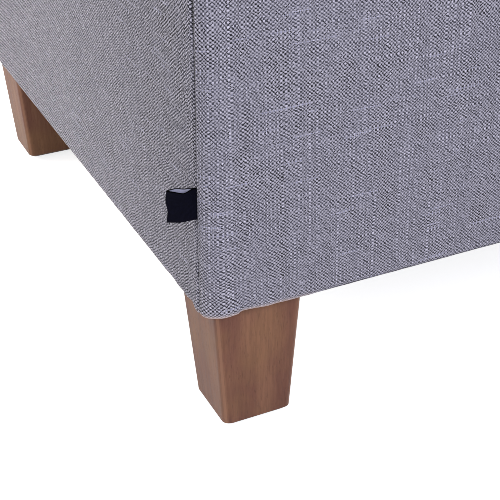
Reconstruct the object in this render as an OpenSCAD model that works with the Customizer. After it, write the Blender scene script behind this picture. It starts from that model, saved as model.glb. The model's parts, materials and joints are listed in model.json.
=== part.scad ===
// Storage ottoman: an upholstered plywood box on four tapered legs, with a padded lid that
// turns on three butt hinges and is held open by a folding stay at each end.
// Millimetres. +Z is up, the floor is z = 0, and the origin is on the floor under the box's centre.
// The front is -Y, the hinges are at +Y, and left is -X.

/* [Box] */
// Width of the upholstered box, left to right
body_w = 1090; // [700:10:1400]
// Depth of the upholstered box, front to back
body_d = 420; // [380:5:600]
// Height from the floor to the top of the closed lid
total_h = 450; // [430:5:540]
// Thickness of the plywood walls
panel_t = 15; // [12:1:18]
// Thickness of the plywood base
base_t = 18; // [15:1:24]
// Legs of the triangular posts that stiffen the inside corners
post_w = 24; // [18:1:30]

/* [Legs] */
// Height of the wooden leg
leg_h = 75; // [55:5:120]
// Width of the leg under the box
leg_top_w = 48; // [44:1:60]
// Width of the leg at the floor
leg_foot_w = 38.5; // [30:0.5:42]
// How far the top of the leg stands in from the cover
leg_inset = 7; // [4:0.5:20]
// Radius of the leg's edges
leg_edge_r = 4; // [2:0.5:6]
// Height of the nail-on glide under the leg
glide_h = 3; // [2:0.5:5]
// Diameter of the glide
glide_d = 22; // [16:1:28]
// Diameter of the hanger bolt that joins the leg to the base
bolt_d = 8; // [6:1:10]
// Depth of the hanger bolt in the leg
bolt_in_leg = 38; // [25:1:42]

/* [Upholstery] */
// Thickness of the foam sheet on the walls
padding_t = 8.8; // [5:0.1:14]
// Thickness of the woven cover
cover_t = 1.2; // [0.8:0.1:1.6]
// Radius of the box's upright corners, outside the cover
corner_r = 10; // [6:1:12]
// Width of the cover turned in under the base
cover_tuck = 20; // [12:1:22]
// Height of the cover turned down inside the rim
rim_turn = 25; // [15:1:40]
// Thickness of the non-woven lining and dust cover
lining_t = 0.8; // [0.5:0.1:1.2]
// How far the dust cover stays in from the cover's face
dust_inset = 15; // [10:1:18]

/* [Lid] */
// Height of the lid, from the underside of its cover to the top
lid_h = 94.7; // [70:0.1:120]
// How far the lid stands out past the box at the front and ends
lid_overhang = 5; // [2:1:10]
// Thickness of the plywood lid board
lid_board_t = 15; // [12:1:20]
// Radius of the lid's upright corners
lid_corner_r = 14; // [8:1:24]
// Width of the cover turned in under the lid board
lid_tuck = 31; // [28:1:34]
// Diameter of the rubber bumpers on the rim
bumper_d = 10; // [8:1:14]
// Angle at which the stays stop the lid
open_angle = 85; // [80:1:95]

/* [Hinges] */
// Length of each of the three butt hinges
hinge_len = 64; // [50:2:90]
// Distance from the end of the wooden box to the end hinge
hinge_end_gap = 80; // [40:5:150]
// Thickness of a hinge leaf
leaf_t = 1.5; // [1.2:0.1:2]
// Distance from the hinge screws' heads to the edge of the leaf
leaf_margin = 2; // [1:0.1:2.4]
// Number of knuckles on each hinge, an odd number
knuckle_count = 5; // [3:2:7]
// Outer radius of the knuckles
knuckle_r = 3.5; // [3:0.1:4]
// Radius of the hinge pin
pin_r = 1.5; // [1.2:0.1:1.8]
// Radius of the wood screws' shanks
screw_r = 1.6; // [1.4:0.1:1.8]
// Length of the hinge screws
hinge_screw_len = 14; // [10:1:15]

/* [Lid stays] */
// Thickness of the stays' steel strip
stay_t = 2; // [1.5:0.1:2.5]
// Width of the stays' arms
stay_w = 14; // [12:1:16]
// Wall pivot, forward of the hinge axis
wall_pivot_fwd = 72; // [68:1:80]
// Wall pivot, below the hinge axis
wall_pivot_drop = 86; // [80:1:100]
// Lid pivot, forward of the hinge axis
lid_pivot_fwd = 80; // [72:1:90]
// Lid pivot, below the hinge axis
lid_pivot_drop = 11; // [11:0.5:14]
// Radius of the stays' rivets
rivet_r = 2.5; // [2:0.1:3]
// Length of the stays' screws
stay_screw_len = 11; // [9:0.5:12]

/* [Label] */
// How far the folded side label stands out of its seam
label_w = 13.5; // [10:0.5:18]
// Height of the side label
label_h = 16.5; // [14:0.5:30]
// Height of the side label above the cover's lower edge
label_rise = 53; // [40:0.5:100]
// Distance of the corner seam from the front of the cover
seam_back = 7; // [6:0.5:14]
// Angle by which the side label leans back
label_turn = 17; // [0:1:30]

/* [Hidden] */
$fn = 48;
slip = 0.3;             // gap between flat pieces that slide past each other
pin_clear = 0.05;       // radial running clearance round pins, rivets, bolts and screws
elbow_clear = 0.3;      // radial clearance of the rivet at the stay's elbow
knuckle_gap = 0.4;      // gap between neighbouring knuckles
back_clear = 0.5;       // gap between the knuckles and the back of the cover
cut = 1;                // how far a cutter runs past the face that it cuts

// Heights, from the floor up
dust_z = glide_h + leg_h;
cover_z = dust_z + lining_t;
base_z = cover_z + cover_t;
floor_z = base_z + base_t;
lid_z = total_h - lid_h;
lid_gap = 2 * leaf_t + slip;
rim_z = lid_z - lid_gap;
wall_top_z = rim_z - cover_t;
turn_z = rim_z - rim_turn;
lid_board_z = lid_z + cover_t;
lid_lining_z = lid_board_z - lining_t;
lid_foam_z = lid_board_z + lid_board_t;
lid_top_z = total_h - cover_t;

// Plan sizes
shell_t = padding_t + cover_t;
wood_w = body_w - 2 * shell_t;
wood_d = body_d - 2 * shell_t;
inner_w = wood_w - 2 * panel_t;
inner_d = wood_d - 2 * panel_t;
lid_w = body_w + 2 * lid_overhang;
lid_d = body_d + lid_overhang;
lid_y = -lid_overhang / 2;
leg_x = body_w / 2 - leg_inset - leg_top_w / 2;
leg_y = body_d / 2 - leg_inset - leg_top_w / 2;
mitre = shell_t + panel_t + post_w;

// Leg fittings
bolt_r = bolt_d / 2;
t_nut_r = bolt_r + 1.2;
t_nut_flange_r = bolt_r + 6;
t_nut_flange_t = 1.5;
t_nut_len = base_t - 6;
bolt_top_z = floor_z - cut;
bolt_end_gap = 2;
foot_round = 1.5;
glide_nail_r = 1.2;
glide_nail_len = 14;
glide_bevel = 1;

// Screws
screw_head_r = 2 * screw_r;
screw_head_t = screw_head_r - screw_r;
screw_tip = 3;

// Hinges
hinge_y = body_d / 2 + back_clear + knuckle_r;
hinge_z = rim_z + lid_gap / 2;
hinge_x = wood_w / 2 - hinge_end_gap - hinge_len / 2;
knuckle_pitch = hinge_len / knuckle_count;
hinge_screw_back = back_clear + knuckle_r + shell_t + panel_t / 2;
leaf_w = hinge_screw_back + screw_head_r + leaf_margin;
hinge_screw_pitch = (hinge_len - 2 * screw_head_r) / 3;

// Lid stays, at the right-hand end. Hinge, wall pivot, elbow and lid pivot form a parallelogram,
// so the lower arm turns with the lid and the upper arm turns back by the same angle
wall_pivot = [hinge_y - wall_pivot_fwd, hinge_z - wall_pivot_drop];
lid_pivot = [hinge_y - lid_pivot_fwd, hinge_z - lid_pivot_drop];
elbow = [wall_pivot[0] - lid_pivot_fwd, wall_pivot[1] - lid_pivot_drop];
wall_plate_x = inner_w / 2 - lining_t - stay_t;
lower_arm_x = wall_plate_x - slip - stay_t;
upper_arm_x = lower_arm_x - slip - stay_t;
lid_tab_x = upper_arm_x - slip - stay_t;
arm_rise = atan2(-lid_pivot_drop, lid_pivot_fwd);
stop_reach = stay_w;
stop_offset = stay_w / 2 + slip + rivet_r;
rivet_head_t = 1.2;
rivet_head_r = 1.8 * rivet_r;
wall_plate_w = stay_w + 8;
wall_plate_h = 46;
wall_screw_rise = 15;
lid_foot_w = 20;
lid_foot_len = 44;
lid_screw_reach = 15;
lid_screw_x = lid_tab_x - (lid_foot_w - stay_t) / 2;

// Rubber bumpers: two on the front rim and one on each end rim
bumper_h = lid_gap - slip;
bumper_end_gap = 120;
bumper_inset = shell_t + panel_t / 2;

// Side label: a ribbon folded into a loop
ribbon_t = 0.5;
label_gap = 1.6;
label_t = label_gap + 2 * ribbon_t;

CORNERS = [
    ["front_left", -1, -1],
    ["front_right", 1, -1],
    ["back_left", -1, 1],
    ["back_right", 1, 1]
];
ENDS = [["left", -1], ["right", 1]];
HINGES = [["left", -1], ["centre", 0], ["right", 1]];

// Upright block with rounded corners, centred on the Z axis
module rounded_block(w, d, r, z0, z1) {
    translate([0, 0, z0])
        linear_extrude(z1 - z0) {
            square([w - 2 * r, d], center = true);
            square([w, d - 2 * r], center = true);
            for (x = [-1, 1], y = [-1, 1])
                translate([x * (w / 2 - r), y * (d / 2 - r)])
                    circle(r);
        }
}

// Upright block with square corners, centred on the Z axis
module block(w, d, z0, z1) {
    translate([-w / 2, -d / 2, z0])
        cube([w, d, z1 - z0]);
}

// Space inside the walls and the corner posts, made smaller all round by inset
module well(inset, z0, z1) {
    w = inner_w / 2 - inset;
    d = inner_d / 2 - inset;
    c = post_w - inset * (2 - sqrt(2));
    translate([0, 0, z0])
        linear_extrude(z1 - z0)
            polygon([
                [-w + c, -d], [w - c, -d], [w, -d + c], [w, d - c],
                [w - c, d], [-w + c, d], [-w, d - c], [-w, -d + c]
            ]);
}

// Draws its children at the right-hand end, or mirrored at the left-hand end
module at_end(side) {
    if (side > 0) children();
    else mirror([1, 0, 0]) children();
}

// Draws its children at the front, or mirrored at the back
module at_front(side) {
    if (side < 0) children();
    else mirror([0, 1, 0]) children();
}

// Draws its children over each leg
module at_legs() {
    for (corner = CORNERS)
        translate([corner[1] * leg_x, corner[2] * leg_y, 0])
            children();
}

// Extrudes an outline drawn in Y and Z along X, from x0
module strip(x0, t) {
    translate([x0, 0, 0])
        rotate([90, 0, 90])
            linear_extrude(t)
                children();
}

// Round piece along X at a point in Y and Z
module rod(point, r, x0, x1) {
    translate([x0, point[0], point[1]])
        rotate([0, 90, 0])
            cylinder(r = r, h = x1 - x0);
}

// Countersunk wood screw that points down, with its head flush at z = 0.
// With some clearance it is the hole for that screw
module wood_screw(length, clearance = 0) {
    head_r = screw_head_r + clearance;
    shank_r = screw_r + clearance;
    over = clearance > 0 ? cut : 0;
    rotate_extrude()
        polygon([
            [0, over], [head_r, over], [head_r, 0], [shank_r, -screw_head_t],
            [shank_r, screw_tip - length], [0, -length - clearance]
        ]);
}

// Screws, or their holes, in the body leaves of the hinges
module body_leaf_screws(clearance = 0) {
    for (hinge = HINGES, i = [-1 : 1])
        translate([
            hinge[1] * hinge_x + i * hinge_screw_pitch,
            hinge_y - hinge_screw_back,
            rim_z + leaf_t
        ])
            wood_screw(hinge_screw_len, clearance);
}

// Screws, or their holes, in the lid leaves of the hinges
module lid_leaf_screws(clearance = 0) {
    for (hinge = HINGES, i = [-1 : 1])
        translate([
            hinge[1] * hinge_x + i * hinge_screw_pitch,
            hinge_y - hinge_screw_back,
            lid_z - leaf_t
        ])
            rotate([180, 0, 0])
                wood_screw(hinge_screw_len, clearance);
}

// Screws, or their holes, in the right-hand stay's wall plate
module wall_plate_screws(clearance = 0) {
    for (rise = [-wall_screw_rise, wall_screw_rise])
        translate([wall_plate_x, wall_pivot[0], wall_pivot[1] + rise])
            rotate([0, -90, 0])
                wood_screw(stay_screw_len, clearance);
}

// Screws, or their holes, in the foot of the right-hand stay's lid bracket
module lid_bracket_screws(clearance = 0) {
    for (reach = [-lid_screw_reach, lid_screw_reach])
        translate([lid_screw_x, lid_pivot[0] + reach, lid_lining_z - stay_t])
            rotate([180, 0, 0])
                wood_screw(stay_screw_len, clearance);
}

// T-nut seen as a solid, or the hole that it drops into
module t_nut_form(clearance = 0) {
    over = clearance > 0 ? cut : 0;
    translate([0, 0, floor_z - t_nut_len])
        cylinder(r = t_nut_r + clearance, h = t_nut_len);
    translate([0, 0, floor_z - t_nut_flange_t])
        cylinder(r = t_nut_flange_r + clearance, h = t_nut_flange_t + over);
}

// Plywood base with counterbored holes for the T-nuts
module bottom_panel() {
    color("burlywood")
        difference() {
            block(wood_w, wood_d, base_z, floor_z);
            at_legs() {
                t_nut_form(pin_clear);
                translate([0, 0, base_z - cut])
                    cylinder(r = bolt_r + pin_clear, h = base_t);
            }
        }
}

// Front or back wall, over the full width of the box
module long_panel(side) {
    color("burlywood")
        difference() {
            translate([-wood_w / 2, side > 0 ? wood_d / 2 - panel_t : -wood_d / 2, floor_z])
                cube([wood_w, panel_t, wall_top_z - floor_z]);
            if (side > 0) body_leaf_screws(pin_clear);
        }
}

// End wall, between the front and back walls
module end_panel(side) {
    color("burlywood")
        at_end(side)
            difference() {
                translate([inner_w / 2, -inner_d / 2, floor_z])
                    cube([panel_t, inner_d, wall_top_z - floor_z]);
                wall_plate_screws(pin_clear);
            }
}

// Triangular post glued into an inside corner
module post(corner) {
    color("tan")
        translate([0, 0, floor_z])
            linear_extrude(wall_top_z - floor_z)
                polygon([
                    [corner[1] * inner_w / 2, corner[2] * inner_d / 2],
                    [corner[1] * (inner_w / 2 - post_w), corner[2] * inner_d / 2],
                    [corner[1] * inner_w / 2, corner[2] * (inner_d / 2 - post_w)]
                ]);
}

// T-nuts sunk in the base, one over each leg
module t_nuts() {
    color("silver")
        at_legs()
            difference() {
                t_nut_form();
                translate([0, 0, base_z])
                    cylinder(r = bolt_r + pin_clear, h = base_t + cut);
            }
}

// Hanger bolts, wood screw below and machine thread above
module hanger_bolts() {
    color("silver")
        at_legs()
            translate([0, 0, dust_z - bolt_in_leg])
                cylinder(r = bolt_r, h = bolt_top_z - dust_z + bolt_in_leg);
}

// Square with rounded corners, as one thin slice of a leg
module leg_slice(w, z) {
    translate([0, 0, z])
        linear_extrude(0.01)
            for (x = [-1, 1], y = [-1, 1])
                translate([x * (w / 2 - leg_edge_r), y * (w / 2 - leg_edge_r)])
                    circle(leg_edge_r, $fn = 32);
}

// Square leg that tapers to the floor, bored for its bolt and for the glide's nail
module leg(corner) {
    color("sienna")
        translate([corner[1] * leg_x, corner[2] * leg_y, 0])
            difference() {
                hull() {
                    leg_slice(leg_foot_w - 2 * foot_round, glide_h);
                    leg_slice(leg_foot_w, glide_h + foot_round);
                    leg_slice(leg_top_w, dust_z - 0.01);
                }
                translate([0, 0, dust_z - bolt_in_leg - bolt_end_gap])
                    cylinder(r = bolt_r + pin_clear, h = bolt_in_leg + bolt_end_gap + cut);
                translate([0, 0, glide_h - cut])
                    cylinder(r = glide_nail_r + pin_clear, h = glide_nail_len + cut);
            }
}

// Nylon glides, each with a bevelled foot and a nail
module leg_glides() {
    color("dimgray")
        at_legs()
            rotate_extrude()
                polygon([
                    [0, 0], [glide_d / 2 - glide_bevel, 0], [glide_d / 2, glide_bevel],
                    [glide_d / 2, glide_h], [glide_nail_r, glide_h],
                    [glide_nail_r, glide_h + glide_nail_len - cut], [0, glide_h + glide_nail_len - cut]
                ]);
}

// Non-woven sheet stapled under the base, with a hole for each bolt
module dust_cover() {
    color("black")
        difference() {
            block(body_w - 2 * dust_inset, body_d - 2 * dust_inset, dust_z, cover_z);
            at_legs()
                translate([0, 0, dust_z - cut])
                    cylinder(r = bolt_r + pin_clear, h = lining_t + 2 * cut);
        }
}

// All the foam round the box, with rounded outside corners
module padding_block() {
    rounded_block(body_w - 2 * cover_t, body_d - 2 * cover_t, corner_r - cover_t, base_z, wall_top_z);
}

// Foam sheet on the front or back, over the full width
module long_padding(side) {
    color("lightyellow")
        at_front(side)
            intersection() {
                padding_block();
                translate([-body_w / 2, -body_d / 2, base_z])
                    cube([body_w, shell_t, wall_top_z - base_z]);
            }
}

// Foam sheet on an end, between the front and back sheets
module end_padding(side) {
    color("lightyellow")
        at_end(side)
            translate([wood_w / 2, -wood_d / 2, base_z])
                cube([padding_t, wood_d, wall_top_z - base_z]);
}

// Whole cover of the box: tucked under the base, up the walls, over the rim and down inside it
module box_cover() {
    difference() {
        rounded_block(body_w, body_d, corner_r, cover_z, rim_z);
        padding_block();
        well(cover_t, base_z, rim_z + cut);
        block(body_w - 2 * cover_tuck, body_d - 2 * cover_tuck, cover_z - cut, base_z + cut);
    }
    difference() {
        well(0, turn_z, rim_z);
        well(cover_t, turn_z - cut, rim_z + cut);
    }
}

// Plan of the front piece of the cover, cut at the seams and mitred over the rim
module front_piece_plan() {
    seam_y = seam_back - body_d / 2;
    polygon([
        [-lid_w, -lid_d], [lid_w, -lid_d], [lid_w, seam_y], [body_w / 2, seam_y],
        [body_w / 2 - mitre, seam_y + mitre], [mitre - body_w / 2, seam_y + mitre],
        [-body_w / 2, seam_y], [-lid_w, seam_y]
    ]);
}

// Plan of an end piece of the cover, between the front and back pieces
module end_piece_plan() {
    seam_y = body_d / 2 - seam_back;
    polygon([
        [lid_w, -seam_y], [body_w / 2, -seam_y], [body_w / 2 - mitre, mitre - seam_y],
        [body_w / 2 - mitre, seam_y - mitre], [body_w / 2, seam_y], [lid_w, seam_y]
    ]);
}

// Front or back piece of the cover, which turns the corners to the seams
module long_cover(side) {
    color("darkgray")
        at_front(side)
            difference() {
                intersection() {
                    box_cover();
                    translate([0, 0, cover_z - cut])
                        linear_extrude(total_h)
                            front_piece_plan();
                }
                if (side > 0) mirror([0, 1, 0]) body_leaf_screws(pin_clear);
            }
}

// End piece of the cover
module end_cover(side) {
    color("darkgray")
        at_end(side)
            intersection() {
                box_cover();
                translate([0, 0, cover_z - cut])
                    linear_extrude(total_h)
                        end_piece_plan();
            }
}

// Non-woven lining of the storage space, up to the cover's turned edge
module storage_lining() {
    color("black")
        difference() {
            well(0, floor_z, turn_z);
            well(lining_t, floor_z + lining_t, turn_z + cut);
            for (end = ENDS)
                at_end(end[1])
                    wall_plate_screws(pin_clear);
        }
}

// Folded ribbon sewn into the left front seam
module side_label() {
    color("black")
        difference() {
            translate([-body_w / 2, seam_back - body_d / 2, cover_z + label_rise])
                rotate([0, 0, 180 - label_turn])
                    difference() {
                        ribbon_loop(label_t, cover_t, label_h, 0);
                        ribbon_loop(label_gap, cover_t + cut, label_h + 2 * cut, cut);
                    }
            rounded_block(body_w, body_d, corner_r, cover_z, rim_z);
        }
}

// Solid loop of the ribbon, seen along Z: straight from the seam and round at the fold
module ribbon_loop(t, root, h, below) {
    reach = label_w - label_t / 2;
    translate([-root, -t / 2, -below])
        cube([root + reach, t, h]);
    translate([reach, 0, -below])
        cylinder(d = t, h = h);
}

// Rubber bumpers that the closed lid rests on
module rim_bumpers() {
    color("dimgray")
        for (end = ENDS) {
            translate([end[1] * (wood_w / 2 - bumper_end_gap), bumper_inset - body_d / 2, rim_z])
                cylinder(d = bumper_d, h = bumper_h);
            translate([end[1] * (body_w / 2 - bumper_inset), bumper_end_gap - wood_d / 2, rim_z])
                cylinder(d = bumper_d, h = bumper_h);
        }
}

// One leaf of a butt hinge. Its knuckles are every other one, from the first or from the second,
// and the plate is notched for the other leaf's knuckles
module hinge_leaf(x, plate_z, first) {
    axis = [hinge_y, hinge_z];
    start = x - hinge_len / 2;
    translate([start, hinge_y - leaf_w, plate_z])
        difference() {
            cube([hinge_len, leaf_w, leaf_t]);
            for (i = [1 - first : 2 : knuckle_count - 1])
                translate([i * knuckle_pitch - knuckle_gap / 2, leaf_w - knuckle_r - slip, -cut])
                    cube([knuckle_pitch + knuckle_gap, knuckle_r + slip + cut, leaf_t + 2 * cut]);
            if (first == 1) {
                translate([-cut, leaf_w - knuckle_r - slip, -cut])
                    cube([cut + knuckle_gap, knuckle_r + slip + cut, leaf_t + 2 * cut]);
            }
        }
    for (i = [first : 2 : knuckle_count - 1])
        rod(
            axis, knuckle_r,
            start + i * knuckle_pitch + knuckle_gap / 2,
            start + (i + 1) * knuckle_pitch - knuckle_gap / 2
        );
}

// Hinge leaf screwed down on the back rim, with the outer knuckles
module hinge_body_leaf(side) {
    x = side * hinge_x;
    color("silver")
        difference() {
            hinge_leaf(x, rim_z, 0);
            rod([hinge_y, hinge_z], pin_r + pin_clear, x - hinge_len, x + hinge_len);
            body_leaf_screws(pin_clear);
        }
}

// Hinge leaf screwed up under the lid, with the inner knuckles
module hinge_lid_leaf(side) {
    x = side * hinge_x;
    color("silver")
        difference() {
            hinge_leaf(x, lid_z - leaf_t, 1);
            rod([hinge_y, hinge_z], pin_r + pin_clear, x - hinge_len, x + hinge_len);
            lid_leaf_screws(pin_clear);
        }
}

// Pins of the three hinges
module hinge_pins() {
    color("silver")
        for (hinge = HINGES)
            rod(
                [hinge_y, hinge_z], pin_r,
                hinge[1] * hinge_x - hinge_len / 2,
                hinge[1] * hinge_x + hinge_len / 2
            );
}

// Plate that carries a stay's lower arm on the end wall
module stay_wall_plate(side) {
    color("silver")
        at_end(side)
            difference() {
                strip(wall_plate_x, stay_t)
                    plate_outline();
                rod(wall_pivot, rivet_r + pin_clear, wall_plate_x - cut, wall_plate_x + stay_t + cut);
                wall_plate_screws(pin_clear);
            }
}

// Outline of the wall plate: a bar with round ends
module plate_outline() {
    straight = wall_plate_h - wall_plate_w;
    translate(wall_pivot) {
        square([wall_plate_w, straight], center = true);
        for (end = [-1, 1])
            translate([0, end * straight / 2])
                circle(d = wall_plate_w);
    }
}

// Bar with round ends between two pivots
module arm_outline(from, to) {
    reach = norm(to - from);
    translate(from)
        rotate(atan2(to[1] - from[1], to[0] - from[0])) {
            translate([0, -stay_w / 2])
                square([reach, stay_w]);
            circle(d = stay_w);
            translate([reach, 0])
                circle(d = stay_w);
        }
}

// Arm that turns on the wall plate and carries the elbow rivet
module stay_lower_arm(side) {
    color("silver")
        at_end(side)
            difference() {
                strip(lower_arm_x, stay_t)
                    arm_outline(wall_pivot, elbow);
                rod(wall_pivot, rivet_r + pin_clear, lower_arm_x - cut, lower_arm_x + stay_t + cut);
                rod(elbow, rivet_r + pin_clear, lower_arm_x - cut, lower_arm_x + stay_t + cut);
            }
}

// Arm that turns on the lid's bracket, with a free hole at the elbow
module stay_upper_arm(side) {
    color("silver")
        at_end(side)
            difference() {
                strip(upper_arm_x, stay_t)
                    arm_outline(lid_pivot, elbow);
                rod(lid_pivot, rivet_r + pin_clear, upper_arm_x - cut, upper_arm_x + stay_t + cut);
                rod(elbow, rivet_r + elbow_clear, upper_arm_x - cut, upper_arm_x + stay_t + cut);
            }
}

// Angle bracket under the lid: a foot for the screws and a tab for the upper arm
module stay_lid_bracket(side) {
    foot_z = lid_lining_z - stay_t;
    color("silver")
        at_end(side)
            difference() {
                union() {
                    translate([lid_tab_x + stay_t - lid_foot_w, lid_pivot[0] - lid_foot_len / 2, foot_z])
                        cube([lid_foot_w, lid_foot_len, stay_t]);
                    strip(lid_tab_x, stay_t) {
                        translate([lid_pivot[0] - stay_w / 2, lid_pivot[1]])
                            square([stay_w, foot_z + stay_t - lid_pivot[1]]);
                        translate(lid_pivot)
                            circle(d = stay_w);
                    }
                }
                rod(lid_pivot, rivet_r + pin_clear, lid_tab_x - cut, lid_tab_x + stay_t + cut);
                lid_bracket_screws(pin_clear);
            }
}

// Rivets that hold the lower arms on the wall plates, and the studs that stop the open arms
module stay_wall_rivets() {
    head_x = lower_arm_x - slip;
    open_rise = arm_rise + open_angle;
    stop = [
        wall_pivot[0] - stop_reach * cos(open_rise) + stop_offset * sin(open_rise),
        wall_pivot[1] + stop_reach * sin(open_rise) + stop_offset * cos(open_rise)
    ];
    color("dimgray")
        for (end = ENDS)
            at_end(end[1]) {
                rod(wall_pivot, rivet_r, head_x, wall_plate_x + stay_t);
                rod(wall_pivot, rivet_head_r, head_x - rivet_head_t, head_x);
                rod(stop, rivet_r, lower_arm_x, wall_plate_x);
            }
}

// Rivets that hold the upper arms on the lid brackets
module stay_lid_rivets() {
    head_x = upper_arm_x + stay_t + slip;
    color("dimgray")
        for (end = ENDS)
            at_end(end[1]) {
                rod(lid_pivot, rivet_r, lid_tab_x, head_x);
                rod(lid_pivot, rivet_head_r, lid_tab_x - rivet_head_t, lid_tab_x);
                rod(lid_pivot, rivet_head_r, head_x, head_x + rivet_head_t);
            }
}

// Rivet of the elbow, tight in the lower arm and free in the upper arm
module elbow_rivet(side) {
    inner_x = upper_arm_x - slip;
    outer_x = lower_arm_x + stay_t;
    color("dimgray")
        at_end(side) {
            rod(elbow, rivet_r, inner_x, outer_x);
            rod(elbow, rivet_head_r, inner_x - rivet_head_t, inner_x);
            rod(elbow, rivet_head_r, outer_x, outer_x + rivet_head_t);
        }
}

// Screws of both wall plates
module stay_wall_screws() {
    color("dimgray")
        for (end = ENDS)
            at_end(end[1])
                wall_plate_screws();
}

// Screws of both lid brackets
module stay_lid_screws() {
    color("dimgray")
        for (end = ENDS)
            at_end(end[1])
                lid_bracket_screws();
}

// Screws of the hinges' body leaves
module hinge_body_screws() {
    color("dimgray")
        body_leaf_screws();
}

// Screws of the hinges' lid leaves
module hinge_lid_screws() {
    color("dimgray")
        lid_leaf_screws();
}

// Block in the plan of the lid, made smaller all round by inset
module lid_block(inset, z0, z1) {
    translate([0, lid_y, 0])
        rounded_block(lid_w - 2 * inset, lid_d - 2 * inset, lid_corner_r - inset, z0, z1);
}

// Plywood board of the lid
module lid_board() {
    color("burlywood")
        difference() {
            lid_block(cover_t, lid_board_z, lid_foam_z);
            lid_leaf_screws(pin_clear);
            for (end = ENDS)
                at_end(end[1])
                    lid_bracket_screws(pin_clear);
        }
}

// Foam slab of the lid
module lid_foam() {
    color("lightyellow")
        lid_block(cover_t, lid_foam_z, lid_top_z);
}

// Top panel of the lid's cover
module lid_top_cover() {
    color("darkgray")
        lid_block(0, lid_top_z, total_h);
}

// All four sides of the lid's cover, tucked under the board
module lid_bands() {
    difference() {
        lid_block(0, lid_z, lid_top_z);
        lid_block(cover_t, lid_board_z, lid_top_z + cut);
        translate([0, lid_y, 0])
            block(lid_w - 2 * lid_tuck, lid_d - 2 * lid_tuck, lid_z - cut, lid_board_z + cut);
    }
}

// Front or back side of the lid's cover, mitred at the corners
module lid_long_band(side) {
    reach = lid_d / 2;
    color("darkgray")
        difference() {
            intersection() {
                lid_bands();
                translate([0, lid_y, lid_z - cut])
                    linear_extrude(lid_h)
                        polygon([
                            [-lid_w / 2, side * reach], [lid_w / 2, side * reach],
                            [lid_w / 2 - reach, 0], [reach - lid_w / 2, 0]
                        ]);
            }
            if (side > 0) lid_leaf_screws(pin_clear);
        }
}

// End side of the lid's cover, mitred at the corners
module lid_end_band(side) {
    reach = lid_d / 2;
    color("darkgray")
        intersection() {
            lid_bands();
            translate([0, lid_y, lid_z - cut])
                linear_extrude(lid_h)
                    polygon([
                        [side * lid_w / 2, -reach], [side * lid_w / 2, reach],
                        [side * (lid_w / 2 - reach), 0]
                    ]);
        }
}

// Non-woven lining under the lid board, inside the tucked edge
module lid_lining() {
    color("black")
        difference() {
            translate([0, lid_y, 0])
                block(lid_w - 2 * lid_tuck, lid_d - 2 * lid_tuck, lid_lining_z, lid_board_z);
            for (end = ENDS)
                at_end(end[1])
                    lid_bracket_screws(pin_clear);
        }
}

bottom_panel();
long_panel(-1);  // front_panel
long_panel(1);  // back_panel
end_panel(-1);  // left_panel
end_panel(1);  // right_panel
for (corner = CORNERS) {
    post(corner);
    leg(corner);
}
t_nuts();
hanger_bolts();
leg_glides();
dust_cover();
long_padding(-1);  // front_padding
long_padding(1);  // back_padding
end_padding(-1);  // left_padding
end_padding(1);  // right_padding
long_cover(-1);  // front_cover
long_cover(1);  // back_cover
end_cover(-1);  // left_cover
end_cover(1);  // right_cover
storage_lining();
side_label();
rim_bumpers();
for (hinge = HINGES) {
    hinge_body_leaf(hinge[1]);
    hinge_lid_leaf(hinge[1]);
}
hinge_pins();
hinge_body_screws();
hinge_lid_screws();
for (end = ENDS) {
    stay_wall_plate(end[1]);
    stay_lower_arm(end[1]);
    stay_upper_arm(end[1]);
    stay_lid_bracket(end[1]);
    elbow_rivet(end[1]);
}
stay_wall_screws();
stay_wall_rivets();
stay_lid_screws();
stay_lid_rivets();
lid_board();
lid_foam();
lid_top_cover();
lid_long_band(-1);  // lid_front_band
lid_long_band(1);  // lid_back_band
lid_end_band(-1);  // lid_left_band
lid_end_band(1);  // lid_right_band
lid_lining();
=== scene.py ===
"""Looks of the storage ottoman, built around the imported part."""
import json
from functools import partialmethod
from math import asin, cos, exp, pi, radians, sin, sqrt, tanh

import bpy
import numpy as np
from mathutils import Matrix, Vector


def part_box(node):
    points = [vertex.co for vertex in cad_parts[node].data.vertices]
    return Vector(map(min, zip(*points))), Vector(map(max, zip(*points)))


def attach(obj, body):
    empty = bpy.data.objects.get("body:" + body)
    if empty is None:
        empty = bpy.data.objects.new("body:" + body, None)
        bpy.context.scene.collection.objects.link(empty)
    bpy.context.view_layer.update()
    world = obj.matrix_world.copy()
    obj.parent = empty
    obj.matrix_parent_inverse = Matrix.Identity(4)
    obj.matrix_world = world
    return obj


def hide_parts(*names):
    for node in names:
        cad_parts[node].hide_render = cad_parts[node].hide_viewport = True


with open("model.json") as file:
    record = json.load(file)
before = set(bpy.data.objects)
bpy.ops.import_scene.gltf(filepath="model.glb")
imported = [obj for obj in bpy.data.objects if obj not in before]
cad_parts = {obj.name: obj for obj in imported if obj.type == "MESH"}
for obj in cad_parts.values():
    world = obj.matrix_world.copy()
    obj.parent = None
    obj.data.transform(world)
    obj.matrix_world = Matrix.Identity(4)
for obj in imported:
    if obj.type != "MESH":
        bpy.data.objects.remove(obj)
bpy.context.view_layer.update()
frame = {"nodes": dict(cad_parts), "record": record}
SCENE = bpy.context.scene
LOW, HIGH = 0, 1
X, Y, Z = 0, 1, 2

# Box, from the frame
HALF_W, SEAM_Y, _ = -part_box("left_cover")[LOW]
HALF_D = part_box("back_cover")[HIGH].y
HEM_Z, RIM_Z = (corner.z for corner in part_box("front_cover"))
WELL_W, WELL_D, TURN_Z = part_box("storage_lining")[HIGH]
WELL_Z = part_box("storage_lining")[LOW].z
FOOT_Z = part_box("front_left_leg")[LOW].z
POST_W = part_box("front_left_post")[HIGH].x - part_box("front_left_post")[LOW].x
CLOTH_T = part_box("bottom_panel")[LOW].z - HEM_Z
LABEL_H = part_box("side_label")[HIGH].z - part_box("side_label")[LOW].z

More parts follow.
